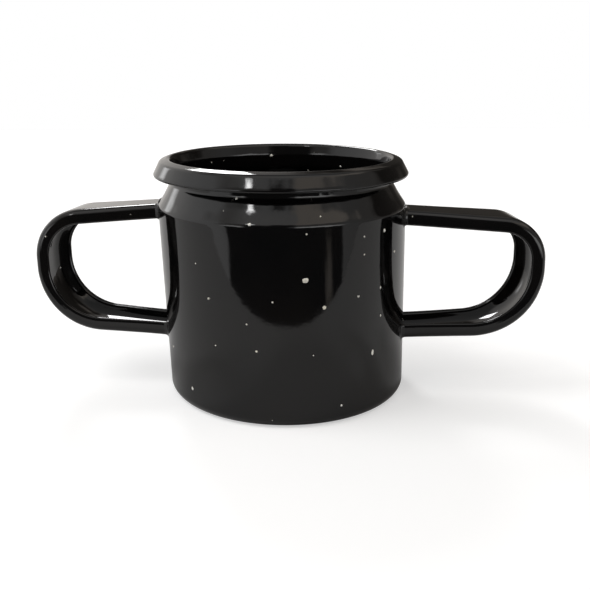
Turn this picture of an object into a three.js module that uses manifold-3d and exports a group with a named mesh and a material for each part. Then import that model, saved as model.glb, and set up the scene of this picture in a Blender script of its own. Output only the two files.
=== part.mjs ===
// Enamelled steel mate cup: a drawn body with a sloping shoulder and a turned-out rim, and two
// D handles bent from flanged steel strip, each welded to the wall at both ends.
// Millimetres, +Z up. The origin is the centre of the base, on the table. The handles lie along X.

import * as THREE from "three";
import { mergeVertices } from "three/addons/utils/BufferGeometryUtils.js";
import Module from "manifold-3d";

const wasm = await Module();
wasm.setup();

// Driving dimensions of the body, measured over the enamel
const WALL = 1.3;
const NECK_DIAMETER = 70;
const SHOULDER_OVERHANG = 4.2;
const RIM_OVERHANG = 5;
const BASE_DIAMETER = 77.2;
const BODY_HEIGHT = 62.2;
const SHOULDER_RISE = 6.4;
const NECK_RISE = 7.05;
const FLARE_RISE = 3;
const FLARE_RUN = 0.8;
const FLARE_BEND = 4;
const RIM_DROP = 5.15;
const RIM_SLOPE = 60;
const RIM_INNER_BEND = 2.2;
const RIM_OUTER_BEND = 1.8;
const NECK_BEND = 3.5;
const SHOULDER_BEND = 4;
const BASE_BEND = 3.2;
const DISH_DEPTH = 1;
const DISH_DIAMETER = 52;
const DISH_BEND = 3;
const DISH_SLOPE = 20;

// Driving dimensions of the handles
const STRIP_THICKNESS = 1.1;
const HANDLE_WIDTH = 16.5;
const HANDLE_END_WIDTH = 20.5;
const HANDLE_THICKNESS = 4.2;
const FLANGE_BEND = 1.8;
const HANDLE_REACH = 41.2;
const HANDLE_DROP = 5;
const ARM_SPACING = 37.2;
const UPPER_ARM_SLOPE = 2.8;
const LOWER_ARM_SLOPE = 3.8;
const UPPER_BEND = 13;
const LOWER_BEND = 18.8;

// Driving dimensions of the welds
const WELD_LEG = 0.8;
const WELD_LAND = 0.25;
const FIT_GAP = 0.3;

// How finely round forms are cut into flat faces
const BODY_SEGMENTS = 72;
const BODY_ARC_STEP = 22.5;
const HANDLE_ARC_STEP = 7.5;
const HANDLE_LINE_STEP = 8;
const SECTION_ARC_STEP = 22.5;
const EDGE_STEPS = 4;
const WELD_STEPS = 2;

// Enamel
const ENAMEL_COLOUR = 0x0c0c0d;
const ENAMEL_ROUGHNESS = 0.12;

// Sizes that follow from the driving dimensions
const halfWall = WALL / 2;
const neckRadius = NECK_DIAMETER / 2;
const shoulderRadius = neckRadius + SHOULDER_OVERHANG;
const rimRadius = neckRadius + RIM_OVERHANG;
const baseRadius = BASE_DIAMETER / 2;
const dishRadius = DISH_DIAMETER / 2;
const neckHeight = BODY_HEIGHT + SHOULDER_RISE;
const cupHeight = neckHeight + NECK_RISE;
const lipHeight = cupHeight - RIM_DROP;
const upperArmHeight = BODY_HEIGHT - HANDLE_DROP;
const lowerArmHeight = upperArmHeight - ARM_SPACING;
const trimLength = HANDLE_WIDTH / 2;

function radians(degrees) {
  return THREE.MathUtils.degToRad(degrees);
}

// Radius of the wall's outside at a height between the base and the shoulder
function wallRadius(height) {
  return THREE.MathUtils.mapLinear(height, 0, BODY_HEIGHT, baseRadius, shoulderRadius);
}

// A corner of a bent line, with the radius of its bend
function corner(x, y, bend = 0) {
  return { at: new THREE.Vector2(x, y), bend };
}

// How far each bend starts before its corner, shortened where two bends share a short straight
function bendSetbacks(corners, legs, turns) {
  const setbacks = corners.map((item, i) => item.bend * Math.tan(Math.abs(turns[i]) / 2));
  const shares = corners.map(() => 1);
  legs.forEach((leg, i) => {
    const needed = setbacks[i] + setbacks[i + 1];
    const share = needed > leg.length() ? leg.length() / needed : 1;
    shares[i] = Math.min(shares[i], share);
    shares[i + 1] = Math.min(shares[i + 1], share);
  });
  return setbacks.map((setback, i) => setback * shares[i]);
}

// A path of straight lines from corner to corner, with an arc at each bend
function bentPath(corners) {
  const last = corners.length - 1;
  const legs = corners.slice(1).map((item, i) => item.at.clone().sub(corners[i].at));
  const turns = corners.map((item, i) => {
    const inner = i > 0 && i < last;
    return inner ? Math.atan2(legs[i - 1].cross(legs[i]), legs[i - 1].dot(legs[i])) : 0;
  });
  const setbacks = bendSetbacks(corners, legs, turns);
  const path = new THREE.Path();
  path.moveTo(corners[0].at.x, corners[0].at.y);
  for (let i = 1; i < last; i += 1) {
    const side = Math.sign(turns[i]);
    const radius = setbacks[i] / Math.tan(Math.abs(turns[i]) / 2);
    const heading = legs[i - 1].clone().normalize();
    const start = corners[i].at.clone().addScaledVector(heading, -setbacks[i]);
    const toCentre = new THREE.Vector2(-heading.y, heading.x).multiplyScalar(side);
    const centre = start.clone().addScaledVector(toCentre, radius);
    const startAngle = toCentre.clone().negate().angle();
    path.lineTo(start.x, start.y);
    path.absarc(centre.x, centre.y, radius, startAngle, startAngle + turns[i], side < 0);
  }
  path.lineTo(corners[last].at.x, corners[last].at.y);
  return path;
}

// Points along a path with the direction of travel at each, in steps of an angle on its arcs and,
// if one is given, of a length on its straights
function stationsAlong(path, arcStep, lineStep = Infinity) {
  const tolerance = 1e-6;
  const stations = [];
  for (const curve of path.curves) {
    const length = curve.getLength();
    if (length < tolerance) continue;
    const turn = curve.isEllipseCurve ? Math.abs(curve.aEndAngle - curve.aStartAngle) : 0;
    const parts = curve.isEllipseCurve ? turn / radians(arcStep) : length / lineStep;
    const steps = Math.max(1, Math.ceil(parts - tolerance));
    for (let k = 0; k <= steps; k += 1) {
      const point = curve.getPoint(k / steps);
      const previous = stations.at(-1);
      if (previous && previous.point.distanceTo(point) < tolerance) continue;
      stations.push({ point, tangent: curve.getTangent(k / steps) });
    }
  }
  return stations;
}

// The line at a distance to the left of the direction of travel, or to its right if negative
function offsetLine(stations, distance) {
  return stations.map(({ point, tangent }) => {
    const left = new THREE.Vector2(-tangent.y, tangent.x);
    return point.clone().addScaledVector(left, distance);
  });
}

// The round edge of a sheet around the end of its centre line, from its right face to its left
function roundEdge({ point, tangent }, thickness) {
  const edge = [];
  for (let k = 1; k < EDGE_STEPS; k += 1) {
    const turn = Math.PI * (k / EDGE_STEPS - 1 / 2);
    const spoke = tangent.clone().rotateAround(new THREE.Vector2(), turn);
    edge.push(point.clone().addScaledVector(spoke, thickness / 2));
  }
  return edge;
}

// Both faces of a bent sheet as one outline: its right face, its round end and its left face
function sheetOutline(stations, thickness) {
  const right = offsetLine(stations, -thickness / 2);
  const left = offsetLine(stations, thickness / 2);
  return [...right, ...roundEdge(stations.at(-1), thickness), ...left.reverse()];
}

// A closed geometry as a solid that can be joined and cut
function solidFrom(geometry) {
  const bare = geometry.clone();
  bare.deleteAttribute("normal");
  bare.deleteAttribute("uv");
  const merged = mergeVertices(bare);
  return new wasm.Manifold(new wasm.Mesh({
    numProp: 3,
    vertProperties: new Float32Array(merged.attributes.position.array),
    triVerts: new Uint32Array(merged.index.array),
  }));
}

// A solid as a geometry again
function geometryFrom(solid) {
  const mesh = solid.getMesh();
  const geometry = new THREE.BufferGeometry();
  geometry.setAttribute("position", new THREE.BufferAttribute(mesh.vertProperties, 3));
  geometry.setIndex(new THREE.BufferAttribute(mesh.triVerts, 1));
  geometry.computeVertexNormals();
  return geometry;
}

// A profile turned about the Z axis. It runs from the axis round the outside and back to the axis.
function turned(profile) {
  const geometry = new THREE.LatheGeometry(profile, BODY_SEGMENTS);
  geometry.rotateX(Math.PI / 2);
  return geometry;
}

// Centre line of the body's sheet from the middle of the base to the top of the shoulder
function lowerBodyCorners() {
  const dishRun = DISH_DEPTH / Math.tan(radians(DISH_SLOPE));
  return [
    corner(0, DISH_DEPTH + halfWall),
    corner(dishRadius - dishRun, DISH_DEPTH + halfWall, DISH_BEND),
    corner(dishRadius, halfWall, DISH_BEND),
    corner(baseRadius - halfWall, halfWall, BASE_BEND - halfWall),
    corner(shoulderRadius - halfWall, BODY_HEIGHT, SHOULDER_BEND - halfWall),
    corner(neckRadius - halfWall, neckHeight, NECK_BEND),
  ];
}

// Centre line of the rim: up the neck, out along the flare, over the crest and down the lip
function rimCorners() {
  const crest = cupHeight - halfWall;
  const lipEdge = lipHeight + halfWall;
  const lipRun = (crest - lipEdge) / Math.tan(radians(RIM_SLOPE));
  const lipRadius = rimRadius - halfWall;
  return [
    corner(neckRadius - halfWall, crest - FLARE_RISE, FLARE_BEND),
    corner(neckRadius - halfWall + FLARE_RUN, crest, RIM_INNER_BEND - halfWall),
    corner(lipRadius - lipRun, crest, RIM_OUTER_BEND - halfWall),
    corner(lipRadius, lipEdge),
  ];
}

function bodyGeometry() {
  const centreLine = bentPath([...lowerBodyCorners(), ...rimCorners()]);
  return turned(sheetOutline(stationsAlong(centreLine, BODY_ARC_STEP), WALL));
}

// The filled body, larger all round by the gap that a welded piece keeps to it
function bodyEnvelope() {
  const neckTop = corner(neckRadius - halfWall, lipHeight);
  const centreLine = bentPath([...lowerBodyCorners(), neckTop]);
  const outside = offsetLine(stationsAlong(centreLine, BODY_ARC_STEP), -halfWall - FIT_GAP);
  const top = new THREE.Vector2(0, lipHeight);
  return solidFrom(turned([...outside, top]));
}

// Section of the strip across its width (x): a web with a flange along each edge, turned towards
// the fingers (+y)
function stripSection() {
  const side = (HANDLE_WIDTH - STRIP_THICKNESS) / 2;
  const depth = (HANDLE_THICKNESS - STRIP_THICKNESS) / 2;
  const bend = FLANGE_BEND - STRIP_THICKNESS / 2;
  const centreLine = bentPath([
    corner(-side, depth),
    corner(-side, -depth, bend),
    corner(side, -depth, bend),
    corner(side, depth),
  ]);
  const stations = stationsAlong(centreLine, SECTION_ARC_STEP);
  const start = { point: stations[0].point, tangent: stations[0].tangent.clone().negate() };
  const firstEdge = roundEdge(start, STRIP_THICKNESS);
  return new THREE.Shape([...sheetOutline(stations, STRIP_THICKNESS), ...firstEdge]);
}

// The bends of a handle as a curve in the XZ plane that steps from station to station
class HandleCurve extends THREE.Curve {
  constructor(stations) {
    super();
    this.stations = stations;
  }

  getUtoTmapping(u) {
    return u;
  }

  stationAt(t) {
    return this.stations[Math.round(t * (this.stations.length - 1))];
  }

  getPoint(t) {
    const { point } = this.stationAt(t);
    return new THREE.Vector3(point.x, 0, point.y);
  }

  getTangent(t) {
    const { tangent } = this.stationAt(t);
    return new THREE.Vector3(tangent.x, 0, tangent.y).normalize();
  }
}

// The two arms of a handle: where each centre line meets the wall, the way it runs outwards, and
// whether the fingers are above it (1) or below it (-1)
const upperArm = {
  root: new THREE.Vector2(wallRadius(upperArmHeight), upperArmHeight),
  heading: new THREE.Vector2(1, 0).rotateAround(new THREE.Vector2(), radians(-UPPER_ARM_SLOPE)),
  fingerSide: -1,
};
const lowerArm = {
  root: new THREE.Vector2(wallRadius(lowerArmHeight), lowerArmHeight),
  heading: new THREE.Vector2(1, 0).rotateAround(new THREE.Vector2(), radians(LOWER_ARM_SLOPE)),
  fingerSide: 1,
};

// The point of an arm's centre line at a distance from the cup's axis
function armPoint(arm, x) {
  return arm.root.clone().addScaledVector(arm.heading, (x - arm.root.x) / arm.heading.x);
}

// Broadens a handle across its width, from the wall to the end of the grip
function broaden(geometry, endLine) {
  const { position } = geometry.attributes;
  for (let i = 0; i < position.count; i += 1) {
    const share = THREE.MathUtils.smoothstep(position.getX(i), shoulderRadius, endLine);
    const width = THREE.MathUtils.lerp(HANDLE_WIDTH, HANDLE_END_WIDTH, share);
    position.setY(i, position.getY(i) * width / HANDLE_WIDTH);
  }
}

function handleSolid(envelope) {
  const endLine = wallRadius(upperArmHeight) + HANDLE_REACH - HANDLE_THICKNESS / 2;
  const upperStart = armPoint(upperArm, upperArm.root.x - trimLength);
  const upperCorner = armPoint(upperArm, endLine);
  const lowerCorner = armPoint(lowerArm, endLine);
  const lowerStart = armPoint(lowerArm, lowerArm.root.x - trimLength);
  const centreLine = bentPath([
    corner(upperStart.x, upperStart.y),
    corner(upperCorner.x, upperCorner.y, UPPER_BEND),
    corner(lowerCorner.x, lowerCorner.y, LOWER_BEND),
    corner(lowerStart.x, lowerStart.y),
  ]);
  const stations = stationsAlong(centreLine, HANDLE_ARC_STEP, HANDLE_LINE_STEP);
  const strip = new THREE.ExtrudeGeometry(stripSection(), {
    steps: stations.length - 1,
    extrudePath: new HandleCurve(stations),
  });
  broaden(strip, endLine);
  return solidFrom(strip).subtract(envelope);
}

// The strip's section filled to a bar with round corners, larger all round by a margin, and taller
// by a further mouth on the fingers' side
function barSection(margin, mouth) {
  const side = HANDLE_WIDTH / 2 + margin;
  const back = -HANDLE_THICKNESS / 2 - margin;
  const front = HANDLE_THICKNESS / 2 + margin + mouth;
  const backBend = FLANGE_BEND + margin;
  const frontBend = STRIP_THICKNESS / 2 + margin;
  const outline = bentPath([
    corner(0, back),
    corner(side, back, backBend),
    corner(side, front, frontBend),
    corner(-side, front, frontBend),
    corner(-side, back, backBend),
    corner(0, back),
  ]);
  const stations = stationsAlong(outline, SECTION_ARC_STEP);
  return new THREE.Shape(stations.slice(1).map(({ point }) => point));
}

// A bar along an arm, from inside the wall to a length beyond it
function barAlong(arm, section, length, bevel) {
  const geometry = new THREE.ExtrudeGeometry(section, {
    depth: trimLength + length,
    bevelEnabled: bevel > 0,
    bevelThickness: bevel,
    bevelSize: bevel,
    bevelSegments: WELD_STEPS,
  });
  const along = new THREE.Vector3(arm.heading.x, 0, arm.heading.y);
  const across = new THREE.Vector3(0, arm.fingerSide, 0);
  const start = new THREE.Vector3(arm.root.x, 0, arm.root.y).addScaledVector(along, -trimLength);
  const placing = new THREE.Matrix4().makeBasis(across, along.clone().cross(across), along);
  geometry.applyMatrix4(placing.setPosition(start));
  return solidFrom(geometry);
}

// The bead of weld along the web and the flanges of one arm, where they meet the wall
function weldSolid(arm, envelope) {
  const bead = barAlong(arm, barSection(FIT_GAP + WELD_LAND, 0), FIT_GAP, WELD_LEG);
  const armSpace = barAlong(arm, barSection(FIT_GAP, trimLength), HANDLE_REACH, 0);
  return bead.subtract(armSpace).subtract(envelope);
}

function enamelled(name, geometry) {
  const material = new THREE.MeshStandardMaterial({
    color: ENAMEL_COLOUR,
    roughness: ENAMEL_ROUGHNESS,
    metalness: 0,
  });
  const mesh = new THREE.Mesh(geometry, material);
  mesh.name = name;
  return mesh;
}

// One handle with its welds, on the side that the turn about the cup's axis gives
function handleAssembly(side, turn, envelope) {
  const assembly = new THREE.Group();
  assembly.add(enamelled(`${side}_handle`, geometryFrom(handleSolid(envelope))));
  assembly.add(enamelled(`${side}_upper_weld`, geometryFrom(weldSolid(upperArm, envelope))));
  assembly.add(enamelled(`${side}_lower_weld`, geometryFrom(weldSolid(lowerArm, envelope))));
  assembly.rotation.z = turn;
  return assembly;
}

const envelope = bodyEnvelope();
const cup = new THREE.Group();
cup.add(enamelled("cup_body", bodyGeometry()));
cup.add(handleAssembly("right", 0, envelope));
cup.add(handleAssembly("left", Math.PI, envelope));

export default cup;
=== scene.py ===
"""Looks of an enamelled mate cup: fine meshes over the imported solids, speckled enamel, light, camera."""

import math
import random

import bmesh
import bpy
from mathutils import Matrix, Vector, noise
from mathutils.bvhtree import BVHTree


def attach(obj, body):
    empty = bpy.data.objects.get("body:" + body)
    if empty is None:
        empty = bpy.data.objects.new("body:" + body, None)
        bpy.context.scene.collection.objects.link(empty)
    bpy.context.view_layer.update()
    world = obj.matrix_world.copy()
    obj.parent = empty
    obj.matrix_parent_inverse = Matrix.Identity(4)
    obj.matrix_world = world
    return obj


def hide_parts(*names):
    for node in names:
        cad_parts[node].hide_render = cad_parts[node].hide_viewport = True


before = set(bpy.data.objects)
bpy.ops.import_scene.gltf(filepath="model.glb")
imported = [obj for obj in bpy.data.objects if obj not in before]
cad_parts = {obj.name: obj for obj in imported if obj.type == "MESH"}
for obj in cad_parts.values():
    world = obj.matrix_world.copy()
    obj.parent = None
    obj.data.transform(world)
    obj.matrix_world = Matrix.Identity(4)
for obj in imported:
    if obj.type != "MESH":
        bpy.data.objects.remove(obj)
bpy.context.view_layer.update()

MM = 0.001
UPRIGHT = Vector((0, 0, 1))

# Body over its enamel, in millimetres and degrees. Its shoulder, neck and rim follow the photograph
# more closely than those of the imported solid
WALL = 1.3
NECK_RADIUS = 35.0
SHOULDER_RADIUS = 39.2
RIM_RADIUS = 40.0
BASE_RADIUS = 38.6
BODY_HEIGHT = 60.8
NECK_HEIGHT = 67.9
SHOULDER_MIDDLE = (37.1, 64.0)
CUP_HEIGHT = 75.65
LIP_HEIGHT = 70.1
FLARE_RISE = 3.0
FLARE_RUN = 0.8
FLARE_BEND = 4.0
RIM_TOP_SLOPE = 18.0
RIM_SLOPE = 62.0
RIM_INNER_BEND = 1.3
RIM_OUTER_BEND = 1.8
NECK_BEND = 2.5
SHOULDER_BEND = 2.0
SHOULDER_HOLLOW = 25.0
BASE_BEND = 3.2
DISH_DEPTH = 1.0
DISH_RADIUS = 26.0
DISH_BEND = 3.0
DISH_SLOPE = 20.0

# Handles, in millimetres: a flanged strip with a rounded channel, whose arms run on inside the wall
STRIP = 1.1
HANDLE_WIDTH = 16.5
HANDLE_END_WIDTH = 22.0
HANDLE_THICKNESS = 4.6
OUTER_BEND = 2.0
CHANNEL_RUN = 3.75
CHANNEL_BEND = 6.0
ARM_DEPTH = 4.125

# The two handles differ by a millimetre or so: height and slope of each arm, reach from the wall to
# the outside of the end, how far the end is skewed to show more of its far side, and its two bends
ARMS = {
    "right": {"upper": (57.6, -2.8), "lower": (21.1, 3.8)},
    "left": {"upper": (58.6, -4.2), "lower": (19.9, 3.8)},
}
HANDLE_REACH = {"right": 41.7, "left": 40.3}
END_SKEW = {"right": 0.085, "left": 0.0}
END_BENDS = {"right": (10.5, 21.0), "left": (13.5, 18.8)}
SIDES = {"right": 1, "left": -1}

# Which way the fingers lie from an arm: down from the upper one, up from the lower one
FINGER_WAYS = {"upper": -1, "lower": 1}

# Each handle is welded on with a slight twist, its back edge lower: the angle in degrees, and the
# height that it turns about
HANDLE_TWIST = 2.6
TWIST_HEIGHT = 38.0

# Joints, in millimetres: a hollow fillet of enamel round each arm, sunk into the wall and the strip
OUTER_FILLET = 1.2
INNER_FILLET = 0.6
SEAT_DEPTH = 0.6
JOINT_SINK = STRIP / 3

# The photographed cup is a little out of true: its lean towards +X per height, and the height that
# stays in place
LEAN = -0.0225
LEAN_CENTRE = 34.0

# Unevenness of the hand-dipped enamel, in millimetres: height of its waves, how far below the
# shoulder's edge they begin to grow, their spacing, and the share and spacing of finer ones
WALL_WAVE = 0.012
EDGE_WAVE = 0.065
EDGE_WAVE_RISE = 4.0
HANDLE_WAVE = 0.025
WAVE_SPACING = 9.0
FINE_SHARE = 0.3
FINE_SPACING = 2.6

# Fineness of the meshes: steps in degrees and millimetres, and counts
BODY_SEGMENTS = 400
BODY_ARC_STEP = 4.0
BODY_LINE_STEP = 0.8
HANDLE_ARC_STEP = 3.0
HANDLE_LINE_STEP = 1.2
SECTION_ARC_STEP = 15.0
SECTION_LINE_STEP = 1.0
FEWEST_ARC_STEPS = 2
EDGE_STEPS = 8
FILLET_STEPS = 6
SHORTEST_RUN = 1e-6
WALL_ROUNDS = 3

# The photograph's frame and its camera: pixels, degrees and millimetres
FRAME_SIZE = 590
FOCAL_PIXELS = 818.2
OPTICAL_CENTRE = (289.8, 294.0)
CAMERA_DISTANCE = 259.2
CAMERA_HEIGHT = 107.4
CAMERA_PITCH = 16.64
CAMERA_PAN = 0.43
CAMERA_ROLL = -0.2
CAMERA_TURN = 5.55
CAMERA_CLIP = 10.0
SENSOR_WIDTH = 36.0

# Black enamel and cream specks: fineness of the noise that each tint and roughness changes with, and
# the range of that noise in which they change
GLASS_IOR = 1.5
NOISE_DETAIL = 2.0
NOISE_MIDDLE = 0.5
TINT_RANGE = (0.3, 0.7)
GLOSS_RANGE = (0.25, 0.75)
ENAMEL_TINT_SCALE = 45.0
ENAMEL_TINTS = ((0.0018, 0.0018, 0.0021), (0.0042, 0.0036, 0.0034))
ENAMEL_GLOSS_SCALE = 160.0
ENAMEL_ROUGHNESS = (0.045, 0.075)
CREAM_TINT_SCALE = 350.0
CREAM_TINTS = ((0.88, 0.88, 0.84), (0.78, 0.74, 0.62))
CREAM_GLOSS_SCALE = 500.0
CREAM_ROUGHNESS = (0.08, 0.16)

# Orange peel of the fired enamel: fineness, strength, and depth in millimetres
PEEL_SCALE = 900.0
PEEL_STRENGTH = 0.25
PEEL_DEPTH = 0.02

# The finest specks are a texture of cells: fineness, the random level above which a cell has a speck,
# the distances from its middle between which the speck ends, and its colour
FINE_SPECK_SCALE = 520.0
FINE_SPECK_LEVEL = 0.93
FINE_SPECK_EDGE = (0.06, 0.11)
FINE_SPECK_COLOUR = (0.42, 0.4, 0.36)

# Specks that stand out in the photograph: their pixel, and their size across and along in millimetres
PHOTO_SPECKS = {
    "body": [
        (305, 280, 1.9, 1.7), (324, 307, 1.3, 1.3), (372, 352, 1.1, 1.9), (384, 230, 1.2, 1.2),
        (236, 198, 0.9, 0.9), (249, 224, 1.2, 0.9), (208, 298, 0.8, 0.8), (192, 388, 1.0, 1.3),
        (256, 351, 0.8, 0.7), (380, 287, 0.6, 1.2), (380, 315, 0.6, 0.9), (358, 296, 0.8, 0.7),
        (341, 405, 0.7, 0.7), (394, 251, 1.0, 0.9), (246, 324, 0.6, 0.6), (320, 216, 0.6, 0.5),
        (364, 236, 0.6, 0.6), (364, 254, 0.6, 0.6), (306, 234, 0.6, 0.6), (272, 302, 0.6, 0.6),
        (173, 346, 0.7, 0.7), (215, 345, 0.5, 0.5), (313, 355, 0.5, 0.5), (195, 263, 0.5, 0.5),
        (271, 155, 1.1, 0.9), (340, 166, 0.8, 0.7), (308, 170, 0.8, 0.7), (211, 162, 0.6, 0.6),
    ],
    "right": [(412, 216, 0.5, 0.5)],
    "left": [(60, 267, 0.8, 0.8), (45, 236, 0.5, 0.5)],
}

# Specks on the sides that the photograph does not show: how many, how low they go, their sizes in
# millimetres, and the power that makes small ones commoner
HIDDEN_SPECKS = {"body": 90, "right": 14, "left": 14}
LOWEST_SPECK = 2.0
SPECK_SIZES = (0.4, 1.5)
SPECK_SIZE_POWER = 3
SPECK_SEED = 11

# Form of a speck: corners, depth and height in millimetres, shares, and the level part of a normal
# below which its ground counts as level
SPECK_SIDES = 14
SPECK_SINK = 0.04
SPECK_RISE = 0.07
SPECK_SHOULDER = 0.75
SPECK_UNEVEN = 0.16
LEVEL_GROUND = 0.1

# Studio: directions are degrees to the right of the camera's side, which is the middle of the ramp
# that goes round the room, and degrees up
STUDIO_TURN = math.radians(CAMERA_TURN)
FULL_TURN = 360.0
RAMP_MIDDLE = 0.5

# Floor, in millimetres from the cup's axis: the enamel mirrors the dark past its front edge, and only
# the camera sees its glow
FLOOR_FRONT = 127.0
FLOOR_REACH = 900.0
FLOOR_GREY = 0.58
FLOOR_CAMERA_GLOW = 0.5

# The sides of the room: direction, level, and how brown it is (0 to 1)
SIDE_LEVELS = [
    (-180.0, 0.5, 0.5), (-160.0, 0.9, 0.4), (-90.0, 1.0, 0.0), (-50.0, 0.9, 0.0), (54.0, 0.5, 0.0),
    (90.0, 0.35, 0.4), (140.0, 0.2, 1.0), (172.0, 0.18, 1.0), (180.0, 0.5, 0.5),
]
BROWN = (1.0, 0.9, 0.8)

# The room overhead, and the heights between which it takes over from the sides
OVERHEAD_LEVEL = 0.95
OVERHEAD_BROWN = 0.3
OVERHEAD_FROM = (40.0, 70.0)

# The back half of the room is darker high up: level, and the heights and the angles from the
# camera's side between which that begins
BACK_TOP_LEVEL = 0.3
BACK_TOP_FROM = (46.0, 56.0)
BACK_TOP_SIDES = (85.0, 110.0)

# Unevenness of the room's outlines: size in degrees, and fineness
ROOM_WARP = 9.0
ROOM_WARP_SCALE = 7.0
ROOM_WARP_DETAIL = 3.0

# Darker and brighter patches of the room: from left to right, from low to high, softness of the
# sides and of the top and bottom, level, how brown
ROOM_PATCHES = [
    ((-60.0, 60.0), (12.0, 42.0), (8.0, 5.0), 0.4, 0.3),
    ((14.0, 112.0), (42.0, 56.0), (6.0, 4.0), 1.1, 1.0),
    ((-120.0, -50.0), (40.0, 54.0), (8.0, 5.0), 0.6, 0.3),
    ((-50.0, 54.0), (-4.0, 12.0), (8.0, 2.0), 2.4, 0.0),
    ((-50.0, 54.0), (-100.0, -4.0), (2.0, 2.0), 0.04, 0.0),
    ((39.0, 43.0), (-18.0, -12.0), (2.0, 3.0), 0.6, 1.0),
    ((-36.0, 12.0), (-8.0, 30.0), (4.0, 4.0), 0.04, 0.0),
    ((-12.0, 12.0), (28.0, 46.0), (4.0, 4.0), 0.04, 0.0),
    ((103.0, 146.0), (8.0, 34.0), (6.0, 6.0), 0.06, 1.0),
    ((138.0, 176.0), (0.0, 44.0), (3.0, 3.0), 0.05, 1.0),
    ((152.0, 172.0), (27.0, 34.0), (6.0, 3.0), 0.4, 1.0),
    ((-138.0, -128.0), (8.0, 18.0), (4.0, 4.0), 3.0, 0.0),
    ((-39.0, -33.0), (42.0, 48.0), (2.0, 3.0), 22.0, 0.0),
]

# Soft lights: name, direction, width and height in degrees, radiance, whether the enamel mirrors it
LIGHT_DISTANCE = 2500.0
SOFT_LIGHTS = [
    ("back_left", -164.5, 41.0, 10.0, 18.0, 18.0, True),
    ("left", -82.0, 56.0, 28.0, 28.0, 4.5, False),
]


def wall_radius(height):
    return BASE_RADIUS + (SHOULDER_RADIUS - BASE_RADIUS) * height / BODY_HEIGHT


def smooth_share(value, low, high):
    share = min(1.0, max(0.0, (value - low) / (high - low)))
    return share * share * (3.0 - 2.0 * share)


# Bent lines: corners are (x, y, bend radius), stations are (point, direction)

def left_of(direction):
    return Vector((-direction.y, direction.x))


def setbacks_of(corners, legs, turns):
    """How far each bend starts before its corner, less where two bends share a short straight."""
    setbacks = [corner[2] * math.tan(abs(turn) / 2) for corner, turn in zip(corners, turns)]
    shares = [1.0] * len(corners)
    for i, leg in enumerate(legs):
        needed = setbacks[i] + setbacks[i + 1]
        share = leg.length / needed if needed > leg.length else 1.0
        shares[i] = min(shares[i], share)
        shares[i + 1] = min(shares[i + 1], share)
    return [setback * share for setback, share in zip(setbacks, shares)]


def straight(start, end, line_step):
    """Stations of a straight, without its last point."""
    run = end - start
    if run.length < SHORTEST_RUN:
        return []
    steps = max(1, math.ceil(run.length / line_step))
    return [(start + run * (k / steps), run.normalized()) for k in range(steps)]


def bent_line(corners, arc_step, line_step):
    points = [Vector(corner[:2]) for corner in corners]
    legs = [end - start for start, end in zip(points, points[1:])]
    inner = [math.atan2(a.x * b.y - a.y * b.x, a.dot(b)) for a, b in zip(legs, legs[1:])]
    turns = [0.0, *inner, 0.0]
    setbacks = setbacks_of(corners, legs, turns)
    stations = []
    here = points[0]
    for i in range(1, len(points) - 1):
        heading = legs[i - 1].normalized()
        start = points[i] - heading * setbacks[i]
        stations += straight(here, start, line_step)
        radius = setbacks[i] / math.tan(abs(turns[i]) / 2)
        centre = start + left_of(heading) * math.copysign(radius, turns[i])
        steps = max(FEWEST_ARC_STEPS, math.ceil(abs(turns[i]) / math.radians(arc_step)))
        for k in range(steps):
            swing = Matrix.Rotation(turns[i] * k / steps, 2)
            stations.append((centre + swing @ (start - centre), swing @ heading))
        here = centre + Matrix.Rotation(turns[i], 2) @ (start - centre)
    stations += straight(here, points[-1], line_step)
    stations.append((points[-1], legs[-1].normalized()))
    return stations


def offset_line(stations, distance):
    return [point + left_of(direction) * distance for point, direction in stations]


def round_edge(station, thickness):
    """The round edge of a sheet past a station, from its right face to its left."""
    point, direction = station
    turns = [math.pi * (k / EDGE_STEPS - 0.5) for k in range(1, EDGE_STEPS)]
    return [point + Matrix.Rotation(turn, 2) @ direction * (thickness / 2) for turn in turns]


def sheet_outline(stations, thickness):
    right = offset_line(stations, -thickness / 2)
    left = offset_line(stations, thickness / 2)
    return [*right, *round_edge(stations[-1], thickness), *reversed(left)]


# Meshes: vertices are in millimetres until they become an object

def leaning(vert):
    x, y, z = vert
    return Vector((x + LEAN * (z - LEAN_CENTRE), y, z))


def finished_object(name, verts, faces):
    mesh = bpy.data.meshes.new(name)
    mesh.from_pydata([Vector(vert) * MM for vert in verts], [], faces)
    shape = bmesh.new()
    shape.from_mesh(mesh)
    bmesh.ops.recalc_face_normals(shape, faces=shape.faces)
    shape.to_mesh(mesh)
    shape.free()
    mesh.polygons.foreach_set("use_smooth", [True] * len(mesh.polygons))
    piece = bpy.data.objects.new(name, mesh)
    bpy.context.scene.collection.objects.link(piece)
    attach(piece, "root")
    return piece


def ring_faces(first, second, count):
    """Quads between two rings of vertices that start at two indices."""
    return [
        (first + k, first + (k + 1) % count, second + (k + 1) % count, second + k)
        for k in range(count)
    ]


def wave(point, height):
    place = Vector(point)
    fine = FINE_SHARE * noise.noise(place / FINE_SPACING)
    return height * (noise.noise(place / WAVE_SPACING) + fine)


# Body

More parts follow.
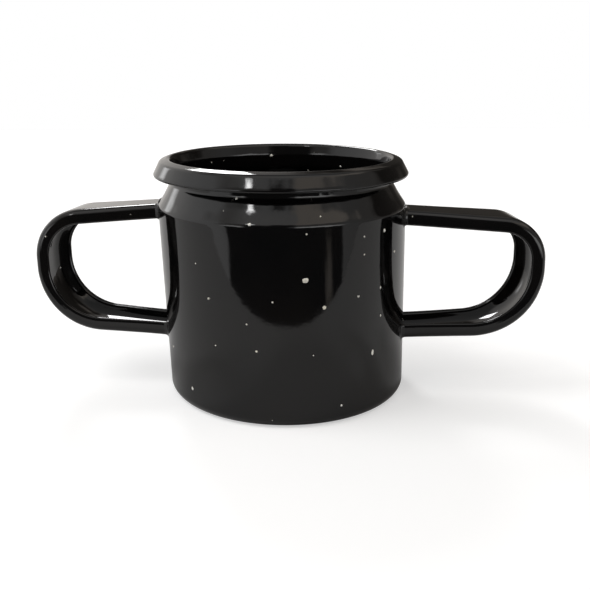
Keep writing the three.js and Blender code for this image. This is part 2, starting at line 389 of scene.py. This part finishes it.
def body_line():
    half = WALL / 2
    middle_radius, middle_height = SHOULDER_MIDDLE
    dish_run = DISH_DEPTH / math.tan(math.radians(DISH_SLOPE))
    crest = CUP_HEIGHT - half
    lip = LIP_HEIGHT + half
    inner_crest = NECK_RADIUS - half + FLARE_RUN
    top_fall = math.tan(math.radians(RIM_TOP_SLOPE))
    skirt_fall = math.tan(math.radians(RIM_SLOPE))
    rim_width = RIM_RADIUS - half - inner_crest
    top_width = (skirt_fall * rim_width - (crest - lip)) / (skirt_fall - top_fall)
    corners = [
        (0.0, DISH_DEPTH + half, 0.0),
        (DISH_RADIUS - dish_run, DISH_DEPTH + half, DISH_BEND),
        (DISH_RADIUS, half, DISH_BEND),
        (BASE_RADIUS - half, half, BASE_BEND - half),
        (SHOULDER_RADIUS - half, BODY_HEIGHT, SHOULDER_BEND - half),
        (middle_radius - half, middle_height, SHOULDER_HOLLOW),
        (NECK_RADIUS - half, NECK_HEIGHT, NECK_BEND),
        (NECK_RADIUS - half, crest - FLARE_RISE, FLARE_BEND),
        (inner_crest, crest, RIM_INNER_BEND - half),
        (inner_crest + top_width, crest - top_fall * top_width, RIM_OUTER_BEND - half),
        (RIM_RADIUS - half, lip, 0.0),
    ]
    return bent_line(corners, BODY_ARC_STEP, BODY_LINE_STEP)


def body_wave(height):
    """The wave height at a height of the body: low on the wall, higher at the shoulder and rim."""
    upper = smooth_share(height, BODY_HEIGHT - EDGE_WAVE_RISE, BODY_HEIGHT)
    return WALL_WAVE + (EDGE_WAVE - WALL_WAVE) * upper


def make_body():
    outline = sheet_outline(body_line(), WALL)
    inner = outline[1:-1]
    verts = [(0.0, 0.0, outline[0].y)]
    for radius, height in inner:
        for k in range(BODY_SEGMENTS):
            turn = 2 * math.pi * k / BODY_SEGMENTS
            place = (radius * math.cos(turn), radius * math.sin(turn), height)
            reach = radius + wave(place, body_wave(height)) if height > BASE_BEND else radius
            verts.append((reach * math.cos(turn), reach * math.sin(turn), height))
    verts.append((0.0, 0.0, outline[-1].y))
    last = len(verts) - 1
    last_ring = last - BODY_SEGMENTS
    faces = []
    for i in range(len(inner) - 1):
        start = 1 + i * BODY_SEGMENTS
        faces += ring_faces(start, start + BODY_SEGMENTS, BODY_SEGMENTS)
    for k in range(BODY_SEGMENTS):
        following = (k + 1) % BODY_SEGMENTS
        faces.append((0, 1 + following, 1 + k))
        faces.append((last, last_ring + k, last_ring + following))
    body = finished_object("enamelled_body", map(leaning, verts), faces)
    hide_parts("cup_body")
    return body


# Handles, made as if for the right side, then turned to their own

def half_section(corners):
    """One face of the strip's section, from the corners of its left half and their mirror images."""
    mirrored = [(-x, y, bend) for x, y, bend in reversed(corners)]
    stations = bent_line([*corners, *mirrored], SECTION_ARC_STEP, SECTION_LINE_STEP)
    return [point for point, _ in stations]


def strip_outline():
    """The strip's closed outline (x across the handle, y towards the fingers), with the way out of
    the metal and the fillet size at each point. Enamel has pooled in the inner corners."""
    side = HANDLE_WIDTH / 2
    back = -HANDLE_THICKNESS / 2
    edge = HANDLE_THICKNESS / 2 - STRIP / 2
    inside = side - STRIP
    web = back + STRIP
    up = Vector((0.0, 1.0))
    outer = [(-side, edge, 0.0), (-side, back, OUTER_BEND)]
    inner = [(-inside, edge, 0.0), (CHANNEL_RUN - inside, web, CHANNEL_BEND)]
    points = [
        *half_section(outer),
        *round_edge((Vector((side - STRIP / 2, edge)), up), STRIP),
        *reversed(half_section(inner)),
        *round_edge((Vector((STRIP / 2 - side, edge)), up), STRIP),
    ]
    count = len(points)
    outline = []
    for i, point in enumerate(points):
        run = points[(i + 1) % count] - points[i - 1]
        way_out = -left_of(run.normalized())
        within = smooth_share(abs(point.x), side, inside)
        above_web = smooth_share(point.y, back, web)
        share = within * above_web
        outline.append((point, way_out, OUTER_FILLET + (INNER_FILLET - OUTER_FILLET) * share))
    return outline


def arm_point(height, slope, x):
    root = wall_radius(height)
    return x, height + (x - root) * math.tan(math.radians(slope))


def handle_line(name):
    upper, lower = ARMS[name]["upper"], ARMS[name]["lower"]
    end_line = wall_radius(upper[0]) + HANDLE_REACH[name] - HANDLE_THICKNESS / 2
    seat = wall_radius(lower[0]) - ARM_DEPTH
    upper_bend, lower_bend = END_BENDS[name]
    corners = [
        (*arm_point(*upper, seat), 0.0),
        (*arm_point(*upper, end_line), upper_bend),
        (*arm_point(*lower, end_line), lower_bend),
        (*arm_point(*lower, seat), 0.0),
    ]
    return bent_line(corners, HANDLE_ARC_STEP, HANDLE_LINE_STEP), end_line


def on_wall(y, height, slope, above=0.0):
    """The x at which a line along an arm meets the wall, at a distance above its surface."""
    x = wall_radius(height)
    for _ in range(WALL_ROUNDS):
        reach = wall_radius(height + (x - wall_radius(height)) * slope) + above
        x = math.sqrt(max(0.0, reach * reach - y * y))
    return x


def twisted(y, z, side):
    """A place of a handle after its twist, which leaves the height of the front edge as it is."""
    share = math.sin(math.radians(HANDLE_TWIST))
    return y + share * side * (z - TWIST_HEIGHT), z - share * (side * y + HANDLE_WIDTH / 2)


def turned(place, side):
    return (side * place[0], side * place[1], place[2])


def make_handle(name):
    side = SIDES[name]
    stations, end_line = handle_line(name)
    outline = [point for point, _, _ in strip_outline()]
    count = len(outline)
    verts = []
    for point, direction in stations:
        fingers = -left_of(direction)
        for across, depth in outline:
            x, z = point + fingers * depth
            spread = smooth_share(x, SHOULDER_RADIUS, end_line)
            width = HANDLE_WIDTH + (HANDLE_END_WIDTH - HANDLE_WIDTH) * spread
            y, z = twisted(across * width / HANDLE_WIDTH, z, side)
            seat = on_wall(y, z, 0.0, -SEAT_DEPTH)
            lift = wave((x, side * y, z), HANDLE_WAVE) if x > SHOULDER_RADIUS else 0.0
            away = fingers * math.copysign(lift, depth)
            skew = side * END_SKEW[name] * spread * y
            verts.append(turned((max(x + away.x - skew, seat), y, z + away.y), side))
    faces = [tuple(range(count)), tuple(range(len(verts) - count, len(verts)))]
    for i in range(len(stations) - 1):
        faces += ring_faces(i * count, (i + 1) * count, count)
    handle = finished_object(f"{name}_flanged_handle", map(leaning, verts), faces)
    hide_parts(f"{name}_handle")
    return handle


def make_joint(name, arm):
    """The hollow fillet of enamel round one arm of a handle, from the wall to the strip."""
    side = SIDES[name]
    height, slope_degrees = ARMS[name][arm]
    slope = math.tan(math.radians(slope_degrees))
    outline = strip_outline()
    count = len(outline)
    verts = []

    def add_ring(offsets, above):
        for (point, way_out, _), offset, lift in zip(outline, offsets, above):
            y, depth = point + way_out * offset
            y, z = twisted(y, height + FINGER_WAYS[arm] * depth, side)
            x = on_wall(y, z, slope) + lift
            verts.append(turned((x, y, z + (x - wall_radius(height)) * slope), side))

    fillets = [fillet for _, _, fillet in outline]
    add_ring(fillets, [-SEAT_DEPTH] * count)
    for k in range(FILLET_STEPS + 1):
        swing = math.pi / 2 * k / FILLET_STEPS
        spread = [fillet * (1 - math.sin(swing)) for fillet in fillets]
        lifts = [fillet * (1 - math.cos(swing)) for fillet in fillets]
        add_ring(spread, lifts)
    add_ring([-JOINT_SINK] * count, fillets)
    rings = len(verts) // count
    faces = []
    for i in range(rings):
        faces += ring_faces(i * count, (i + 1) % rings * count, count)
    joint = finished_object(f"{name}_{arm}_joint", map(leaning, verts), faces)
    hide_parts(f"{name}_{arm}_weld")
    return joint


# Camera of the photograph

def camera_pose():
    pitch, pan, roll, turn = (
        math.radians(angle) for angle in (CAMERA_PITCH, CAMERA_PAN, CAMERA_ROLL, CAMERA_TURN)
    )
    forward = Vector((
        math.sin(pan) * math.cos(pitch),
        math.cos(pan) * math.cos(pitch),
        -math.sin(pitch),
    ))
    right = forward.cross(UPRIGHT).normalized()
    up = right.cross(forward)
    rolled_right = right * math.cos(roll) + up * math.sin(roll)
    rolled_up = up * math.cos(roll) - right * math.sin(roll)
    axes = Matrix((rolled_right, rolled_up, -forward)).transposed().to_4x4()
    place = Matrix.Translation(Vector((0, -CAMERA_DISTANCE, CAMERA_HEIGHT)) * MM)
    return Matrix.Rotation(turn, 4, "Z") @ place @ axes


def make_camera():
    data = bpy.data.cameras.new("photo_camera")
    data.sensor_width = SENSOR_WIDTH
    data.lens = FOCAL_PIXELS / FRAME_SIZE * SENSOR_WIDTH
    middle = (FRAME_SIZE - 1) / 2
    data.shift_x = (middle - OPTICAL_CENTRE[0]) / FRAME_SIZE
    data.shift_y = (OPTICAL_CENTRE[1] - middle) / FRAME_SIZE
    data.clip_start = CAMERA_CLIP * MM
    camera = bpy.data.objects.new("photo_camera", data)
    camera.matrix_world = camera_pose()
    bpy.context.scene.collection.objects.link(camera)
    bpy.context.scene.camera = camera


# Shader nodes

def set_inputs(tree, node, values):
    """Sets a node's inputs, by name or index, to constants or to the outputs of other nodes."""
    for key, value in values.items():
        if isinstance(value, bpy.types.NodeSocket):
            tree.links.new(value, node.inputs[key])
        else:
            node.inputs[key].default_value = value


def new_node(tree, kind, values=None, **settings):
    """A node whose settings are made first, because they decide which inputs it has."""
    node = tree.nodes.new(f"ShaderNode{kind}")
    for key, setting in settings.items():
        setattr(node, key, setting)
    set_inputs(tree, node, values or {})
    return node


def solid(colour):
    return (*colour, 1.0)


def grey(level, brown=0.0):
    return solid(level * (1.0 + brown * (tone - 1.0)) for tone in BROWN)


def math_node(tree, operation, *values):
    return new_node(tree, "Math", dict(enumerate(values)), operation=operation).outputs["Value"]


def blend_node(tree, share, first, second):
    values = {"Factor": share, "A": first, "B": second}
    return new_node(tree, "Mix", values, data_type="RGBA").outputs["Result"]


def noise_node(tree, place, scale, detail=NOISE_DETAIL):
    return new_node(tree, "TexNoise", {"Vector": place, "Scale": scale, "Detail": detail})


def ramp_node(tree, value, stops):
    """A colour that follows a value from stop to stop, each of them a (position, colour)."""
    node = new_node(tree, "ValToRGB", {"Fac": value})
    elements = node.color_ramp.elements
    while len(elements) < len(stops):
        elements.new(RAMP_MIDDLE)
    for element, (position, colour) in zip(elements, stops):
        element.position = position
        element.color = colour
    return node.outputs["Color"]


def soft_step(tree, value, low, high):
    """0 below low and 1 above high, or the other way round where low is the larger."""
    flip = low > high
    values = {
        "Value": value,
        "From Min": min(low, high),
        "From Max": max(low, high),
        "To Min": 1.0 if flip else 0.0,
        "To Max": 0.0 if flip else 1.0,
    }
    return new_node(tree, "MapRange", values, interpolation_type="SMOOTHSTEP").outputs["Result"]


def soft_band(tree, value, limits, soft):
    """1 between two limits, with soft edges, and 0 outside."""
    low, high = limits
    rising = soft_step(tree, value, low - soft, low + soft)
    falling = soft_step(tree, value, high + soft, high - soft)
    return math_node(tree, "MULTIPLY", rising, falling)


def camera_ray(tree):
    return new_node(tree, "LightPath").outputs["Is Camera Ray"]


# Materials

def new_material(name):
    material = bpy.data.materials.new(name)
    material.use_nodes = True
    tree = material.node_tree
    return material, tree, tree.nodes["Principled BSDF"]


def uneven_colour(tree, place, scale, noise_range, colours):
    """A colour that changes from place to place between two others."""
    level = noise_node(tree, place, scale).outputs["Fac"]
    return ramp_node(tree, level, list(zip(noise_range, colours)))


def orange_peel(tree, place):
    height = noise_node(tree, place, PEEL_SCALE).outputs["Fac"]
    values = {"Strength": PEEL_STRENGTH, "Distance": PEEL_DEPTH * MM, "Height": height}
    return new_node(tree, "Bump", values).outputs["Normal"]


def fine_specks(tree, place):
    """1 on the finest specks of the enamel and 0 beside them."""
    cells = new_node(tree, "TexVoronoi", {"Vector": place, "Scale": FINE_SPECK_SCALE}).outputs
    dot = ramp_node(tree, cells["Distance"], list(zip(FINE_SPECK_EDGE, (grey(1.0), grey(0.0)))))
    chosen = math_node(tree, "GREATER_THAN", cells["Color"], FINE_SPECK_LEVEL)
    return math_node(tree, "MULTIPLY", dot, chosen)


def glaze(tree, shader, place, tint, gloss_scale, roughness):
    """Gives a shader its tint, with the uneven gloss and the orange peel of fired enamel."""
    levels = [grey(level) for level in roughness]
    set_inputs(tree, shader, {
        "Base Color": tint,
        "Roughness": uneven_colour(tree, place, gloss_scale, GLOSS_RANGE, levels),
        "Normal": orange_peel(tree, place),
        "IOR": GLASS_IOR,
    })


def enamel_material():
    material, tree, shader = new_material("black_speckled_enamel")
    place = new_node(tree, "TexCoord").outputs["Object"]
    ground = uneven_colour(tree, place, ENAMEL_TINT_SCALE, TINT_RANGE, map(solid, ENAMEL_TINTS))
    tint = blend_node(tree, fine_specks(tree, place), ground, solid(FINE_SPECK_COLOUR))
    glaze(tree, shader, place, tint, ENAMEL_GLOSS_SCALE, ENAMEL_ROUGHNESS)
    return material


def speck_material():
    material, tree, shader = new_material("cream_speck")
    place = new_node(tree, "TexCoord").outputs["Object"]
    tint = uneven_colour(tree, place, CREAM_TINT_SCALE, TINT_RANGE, map(solid, CREAM_TINTS))
    glaze(tree, shader, place, tint, CREAM_GLOSS_SCALE, CREAM_ROUGHNESS)
    return material


def floor_material():
    material, tree, shader = new_material("pale_floor")
    set_inputs(tree, shader, {
        "Base Color": grey(FLOOR_GREY),
        "Roughness": 1.0,
        "Specular IOR Level": 0.0,
        "Emission Color": grey(1.0),
        "Emission Strength": math_node(tree, "MULTIPLY", camera_ray(tree), FLOOR_CAMERA_GLOW),
    })
    return material


# Raised specks

def surface_of(piece):
    mesh = piece.data
    return BVHTree.FromPolygons(
        [vert.co / MM for vert in mesh.vertices],
        [face.vertices for face in mesh.polygons],
    )


def through_pixel(surface, x, y):
    """The place on a surface, and its normal, that the camera sees at a pixel."""
    pose = camera_pose()
    centre_x, centre_y = OPTICAL_CENTRE
    way = Vector(((x - centre_x) / FOCAL_PIXELS, (centre_y - y) / FOCAL_PIXELS, -1.0))
    place, normal, _, _ = surface.ray_cast(pose.translation / MM, pose.to_3x3() @ way)
    return place, normal


def hidden_places(piece, count, draw):
    """Places spread over the faces that look away from the camera, with their normals."""
    eye = camera_pose().translation
    faces = [
        face for face in piece.data.polygons
        if face.normal.dot(eye - face.center) < 0 and face.center.z > LOWEST_SPECK * MM
    ]
    areas = [face.area for face in faces]
    for face in draw.choices(faces, weights=areas, k=count):
        yield face.center / MM, face.normal


def add_speck(verts, faces, place, normal, across, along, draw):
    """A low closed dome of cream enamel with an uneven outline, sunk a little into its ground."""
    level = normal.cross(UPRIGHT)
    right = level.normalized() if level.length > LEVEL_GROUND else Vector((1, 0, 0))
    up = normal.cross(right)
    uneven = [1.0 + draw.uniform(-SPECK_UNEVEN, SPECK_UNEVEN) for _ in range(SPECK_SIDES)]
    first = len(verts)
    for share, height in ((1.0, -SPECK_SINK), (SPECK_SHOULDER, SPECK_RISE * SPECK_SHOULDER)):
        for k in range(SPECK_SIDES):
            turn = 2 * math.pi * k / SPECK_SIDES
            reach = share * uneven[k] / 2
            sideways = right * (across * reach * math.cos(turn))
            upwards = up * (along * reach * math.sin(turn))
            verts.append(place + sideways + upwards + normal * height)
    top = len(verts)
    verts.append(place + normal * SPECK_RISE)
    faces.append(tuple(range(first, first + SPECK_SIDES)))
    faces += ring_faces(first, first + SPECK_SIDES, SPECK_SIDES)
    shoulder = first + SPECK_SIDES
    for k in range(SPECK_SIDES):
        faces.append((top, shoulder + k, shoulder + (k + 1) % SPECK_SIDES))


def make_specks(name, piece, draw):
    surface = surface_of(piece)
    verts = []
    faces = []
    for x, y, across, along in PHOTO_SPECKS[name]:
        place, normal = through_pixel(surface, x, y)
        add_speck(verts, faces, place, normal, across, along, draw)
    smallest, largest = SPECK_SIZES
    for place, normal in hidden_places(piece, HIDDEN_SPECKS[name], draw):
        size = smallest + (largest - smallest) * draw.random() ** SPECK_SIZE_POWER
        add_speck(verts, faces, place, normal, size, size, draw)
    return finished_object(f"{name}_specks", verts, faces)


# Studio

def way_to(azimuth, elevation):
    turn = math.radians(azimuth) + STUDIO_TURN
    rise = math.radians(elevation)
    level = math.cos(rise)
    return Vector((math.sin(turn) * level, -math.cos(turn) * level, math.sin(rise)))


def make_lights():
    for name, azimuth, elevation, width, height, radiance, mirrored in SOFT_LIGHTS:
        data = bpy.data.lights.new(f"{name}_light", "AREA")
        data.shape = "RECTANGLE"
        data.size, data.size_y = (
            2 * LIGHT_DISTANCE * MM * math.tan(math.radians(angle) / 2) for angle in (width, height)
        )
        data.energy = radiance * math.pi * data.size * data.size_y
        light = bpy.data.objects.new(f"{name}_light", data)
        way = way_to(azimuth, elevation)
        light.location = way * LIGHT_DISTANCE * MM
        light.rotation_euler = way.to_track_quat("Z", "Y").to_euler()
        light.visible_camera = False
        light.visible_glossy = mirrored
        bpy.context.scene.collection.objects.link(light)


def make_floor():
    spots = [
        (-FLOOR_REACH, -FLOOR_FRONT), (FLOOR_REACH, -FLOOR_FRONT),
        (FLOOR_REACH, FLOOR_REACH), (-FLOOR_REACH, FLOOR_REACH),
    ]
    mesh = bpy.data.meshes.new("floor")
    mesh.from_pydata([Vector((x, y, 0.0)) * MM for x, y in spots], [], [(0, 1, 2, 3)])
    mesh.materials.append(floor_material())
    floor = bpy.data.objects.new("floor", mesh)
    floor.rotation_euler.z = STUDIO_TURN
    bpy.context.scene.collection.objects.link(floor)


def studio_way(tree):
    """The direction that is looked in, turned so that -Y is the camera's side."""
    way = new_node(tree, "TexCoord").outputs["Generated"]
    values = {"Vector": way, "Rotation": (0.0, 0.0, -STUDIO_TURN)}
    return new_node(tree, "Mapping", values).outputs["Vector"]


def angles_of(tree, way):
    """Azimuth and elevation of a direction, in degrees."""
    split = new_node(tree, "SeparateXYZ", {"Vector": way}).outputs
    front = math_node(tree, "MULTIPLY", split["Y"], -1.0)
    turn = math_node(tree, "ARCTAN2", split["X"], front)
    rise = math_node(tree, "ARCSINE", split["Z"])
    return [math_node(tree, "DEGREES", angle) for angle in (turn, rise)]


def shifts_of(tree, way):
    """Two uneven shifts, in degrees, that differ from direction to direction."""
    uneven = noise_node(tree, way, ROOM_WARP_SCALE, ROOM_WARP_DETAIL).outputs["Color"]
    channels = new_node(tree, "SeparateColor", {"Color": uneven}).outputs
    for name in ("Red", "Green"):
        centred = math_node(tree, "SUBTRACT", channels[name], NOISE_MIDDLE)
        yield math_node(tree, "MULTIPLY", centred, 2 * ROOM_WARP)


def room_sides(tree, azimuth):
    share = math_node(tree, "DIVIDE", azimuth, FULL_TURN)
    position = math_node(tree, "ADD", share, RAMP_MIDDLE)
    return ramp_node(tree, position, [
        (degrees / FULL_TURN + RAMP_MIDDLE, grey(level, brown))
        for degrees, level, brown in SIDE_LEVELS
    ])


def with_top(tree, room, azimuth, elevation):
    """The room with what is overhead, and darker high up at the back."""
    overhead = soft_step(tree, elevation, *OVERHEAD_FROM)
    room = blend_node(tree, overhead, room, grey(OVERHEAD_LEVEL, OVERHEAD_BROWN))
    behind = soft_step(tree, math_node(tree, "ABSOLUTE", azimuth), *BACK_TOP_SIDES)
    above = soft_step(tree, elevation, *BACK_TOP_FROM)
    share = math_node(tree, "MULTIPLY", behind, above)
    return blend_node(tree, share, room, grey(BACK_TOP_LEVEL))


def with_patches(tree, room, azimuth, elevation):
    for sides, heights, (side_soft, height_soft), level, brown in ROOM_PATCHES:
        across = soft_band(tree, azimuth, sides, side_soft)
        upwards = soft_band(tree, elevation, heights, height_soft)
        share = math_node(tree, "MULTIPLY", across, upwards)
        room = blend_node(tree, share, room, grey(level, brown))
    return room


def make_world():
    """White to the camera; round the cup a pale room, dark low down on the camera's side."""
    world = bpy.data.worlds.new("studio")
    bpy.context.scene.world = world
    world.use_nodes = True
    tree = world.node_tree
    way = studio_way(tree)
    azimuth, elevation = angles_of(tree, way)
    azimuth_shift, elevation_shift = shifts_of(tree, way)
    uneven_azimuth = math_node(tree, "ADD", azimuth, azimuth_shift)
    uneven_elevation = math_node(tree, "ADD", elevation, elevation_shift)
    room = room_sides(tree, azimuth)
    room = with_top(tree, room, uneven_azimuth, uneven_elevation)
    room = with_patches(tree, room, uneven_azimuth, uneven_elevation)
    seen = blend_node(tree, camera_ray(tree), room, grey(1.0))
    set_inputs(tree, tree.nodes["Background"], {"Color": seen})


bpy.context.scene.view_settings.view_transform = "Standard"
enamel = enamel_material()
pieces = {"body": make_body()}
for name in SIDES:
    pieces[name] = make_handle(name)
    for arm in FINGER_WAYS:
        pieces[f"{name}_{arm}"] = make_joint(name, arm)
for piece in pieces.values():
    piece.data.materials.append(enamel)
cream = speck_material()
draw = random.Random(SPECK_SEED)
for name in PHOTO_SPECKS:
    specks = make_specks(name, pieces[name], draw)
    specks.data.materials.append(cream)
make_camera()
make_floor()
make_world()
make_lights()
